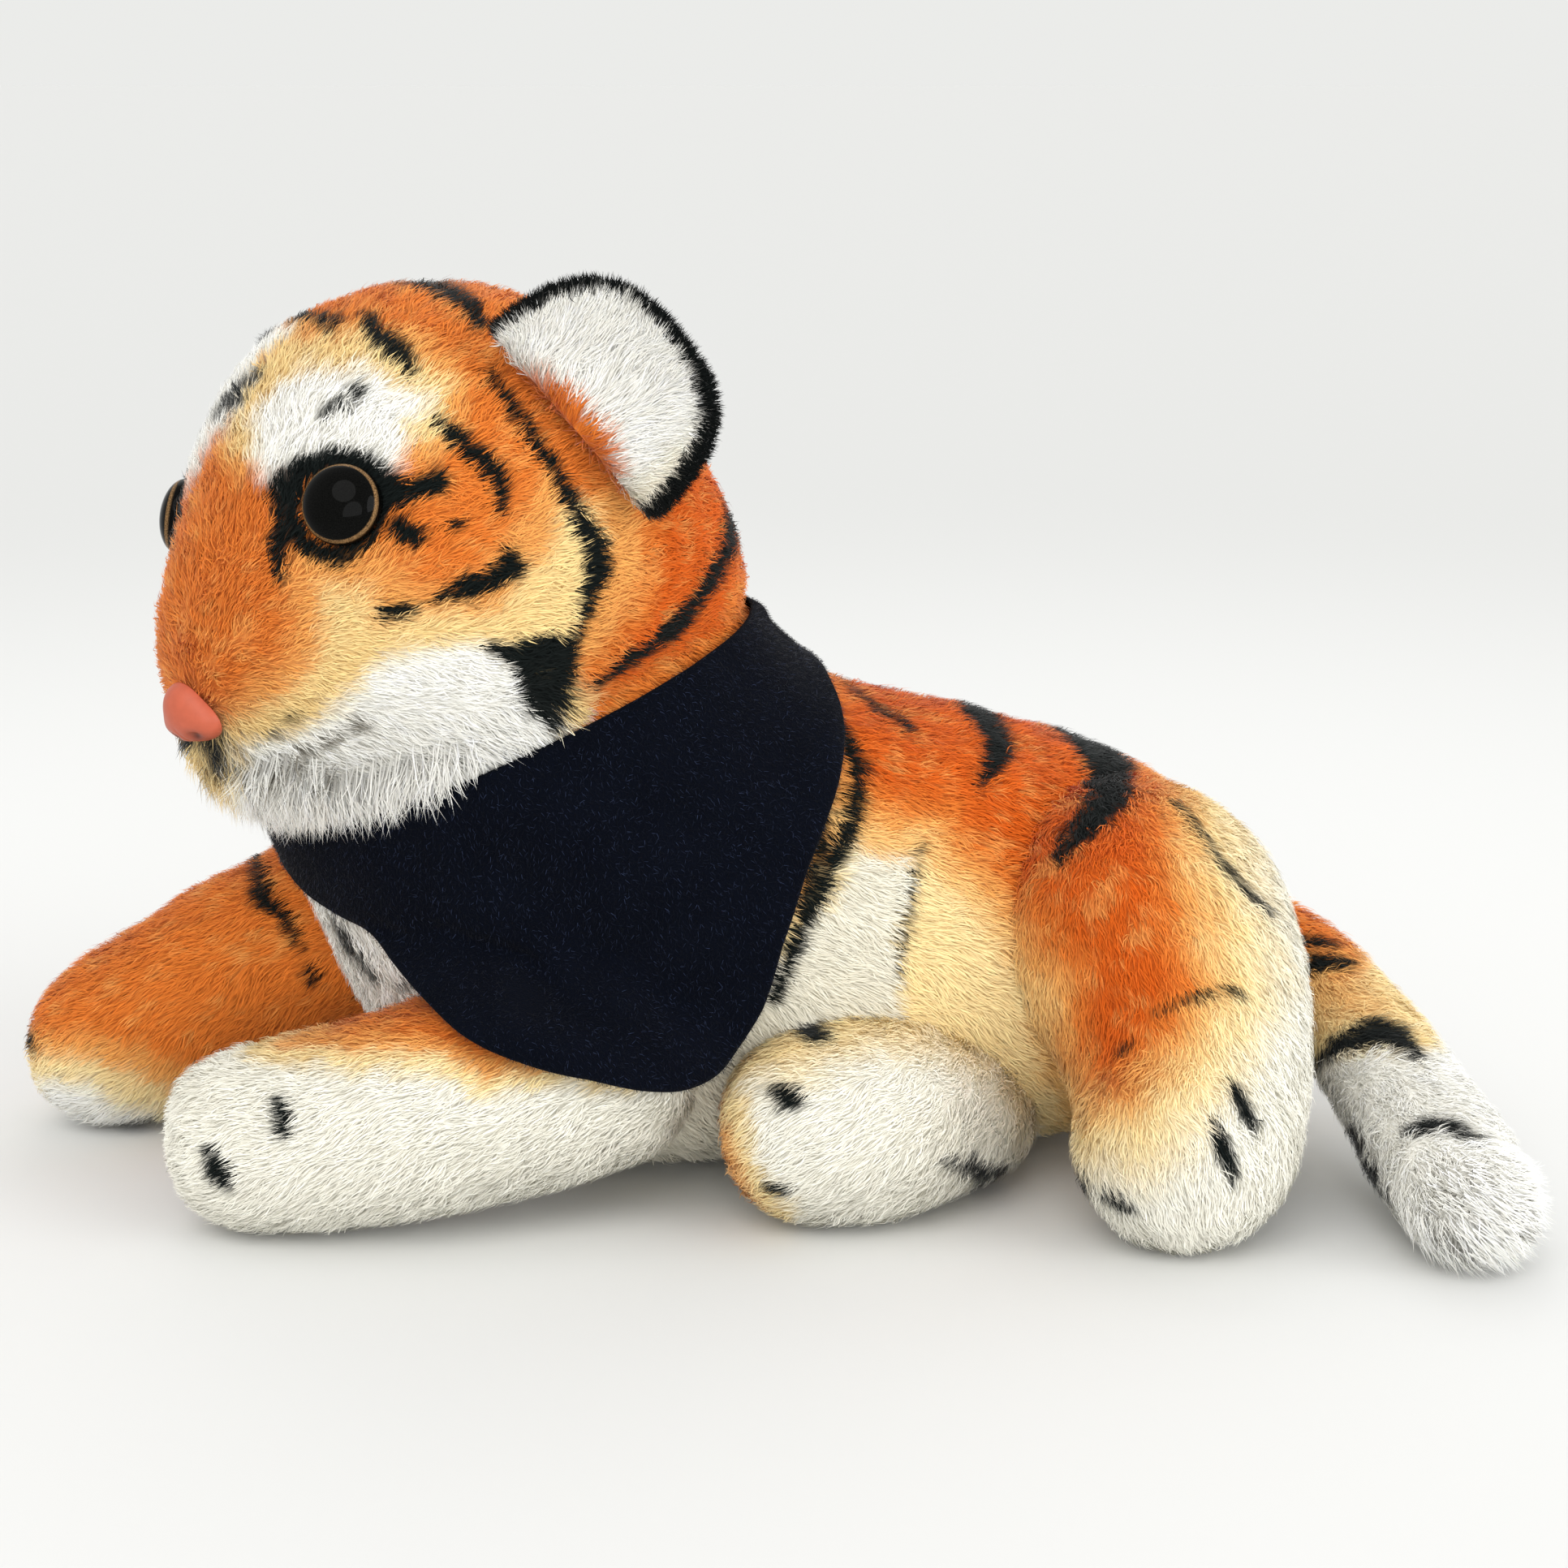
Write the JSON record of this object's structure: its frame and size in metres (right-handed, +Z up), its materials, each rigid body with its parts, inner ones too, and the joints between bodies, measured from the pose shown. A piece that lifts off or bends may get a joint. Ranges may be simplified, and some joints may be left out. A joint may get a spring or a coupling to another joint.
{
  "type": "plush tiger",
  "caption": "Lying plush tiger cub with a turning head, swinging legs and tail, folding ears, safety eyes, a nose and a navy felt bandana.",
  "frame": {"origin": "on the floor under the middle of the belly, on the belly's flat rest face", "axes": "+Z up, -X is where the cub's chest faces, -Y is the cub's left side, +X is the longest way"},
  "size_m": [0.2865, 0.1738, 0.1834],
  "materials": {
    "orange_plush": "short pile",
    "white_plush": "short pile",
    "filling": "matte",
    "pellet_bag": "matte",
    "navy_felt": "matte",
    "closure": "matte",
    "eye_plastic": "gloss",
    "nose_plastic": "satin",
    "washer_plastic": "satin"
  },
  "bodies": {
    "torso": {"torso_cover": "orange_plush", "torso_stuffing": "filling", "bean_pouch": "pellet_bag", "bandana": "navy_felt", "hook_strip": "closure", "loop_strip": "closure"},
    "head": {"head_cover": "orange_plush", "head_stuffing": "filling", "eye_left": "eye_plastic", "eye_right": "eye_plastic", "eye_washer_left": "washer_plastic", "eye_washer_right": "washer_plastic", "nose": "nose_plastic", "nose_washer": "washer_plastic"},
    "ear_left": {"ear_left_front": "white_plush", "ear_left_back": "orange_plush"},
    "ear_right": {"ear_right_front": "white_plush", "ear_right_back": "orange_plush"},
    "front_leg_left": {"front_leg_left_cover": "orange_plush", "front_leg_left_stuffing": "filling"},
    "front_leg_right": {"front_leg_right_cover": "orange_plush", "front_leg_right_stuffing": "filling"},
    "hind_leg_left": {"hind_leg_left_cover": "orange_plush", "hind_leg_left_stuffing": "filling"},
    "hind_leg_right": {"hind_leg_right_cover": "white_plush", "hind_leg_right_stuffing": "filling"},
    "tail": {"tail_cover": "orange_plush", "tail_stuffing": "filling"}
  },
  "joints": [
    {"name": "head_turn", "type": "hinge", "parent": "torso", "child": "head", "pos_m": [-0.0485, 0, 0.0955], "axis": [-0.3955, 0, 0.9184], "range_deg": [-22, 18], "stiffness_Nm_per_rad": 0.12},
    {"name": "ear_left_fold", "type": "hinge", "parent": "head", "child": "ear_left", "pos_m": [-0.0411, -0.03851, 0.15608], "axis": [0.6287, -0.1747, -0.7577], "range_deg": [-14, 14], "stiffness_Nm_per_rad": 0.01},
    {"name": "ear_right_fold", "type": "hinge", "parent": "head", "child": "ear_right", "pos_m": [-0.08536, 0.04478, 0.14193], "axis": [0.3262, 0.3966, -0.8581], "range_deg": [-14, 14], "stiffness_Nm_per_rad": 0.01},
    {"name": "front_leg_left_splay", "type": "hinge", "parent": "torso", "child": "front_leg_left", "pos_m": [-0.0366, -0.0315, 0.02881], "axis": [0, 0, 1], "range_deg": [0, 10], "stiffness_Nm_per_rad": 0.06},
    {"name": "front_leg_right_splay", "type": "hinge", "parent": "torso", "child": "front_leg_right", "pos_m": [-0.066, 0.0279, 0.04608], "axis": [0, 0, -1], "range_deg": [0, 14], "stiffness_Nm_per_rad": 0.06},
    {"name": "hind_leg_left_lift", "type": "hinge", "parent": "torso", "child": "hind_leg_left", "pos_m": [0.07, -0.03015, 0.05214], "axis": [-1, 0, 0], "range_deg": [0, 15], "stiffness_Nm_per_rad": 0.1},
    {"name": "hind_leg_right_splay", "type": "hinge", "parent": "torso", "child": "hind_leg_right", "pos_m": [0.04, -0.0279, 0.01399], "axis": [0, 0, 1], "range_deg": [0, 10], "stiffness_Nm_per_rad": 0.06},
    {"name": "tail_swing", "type": "hinge", "parent": "torso", "child": "tail", "pos_m": [0.106, 0.0018, 0.0399], "axis": [0, 0, 1], "range_deg": [-2, 25], "stiffness_Nm_per_rad": 0.03}
  ]
}
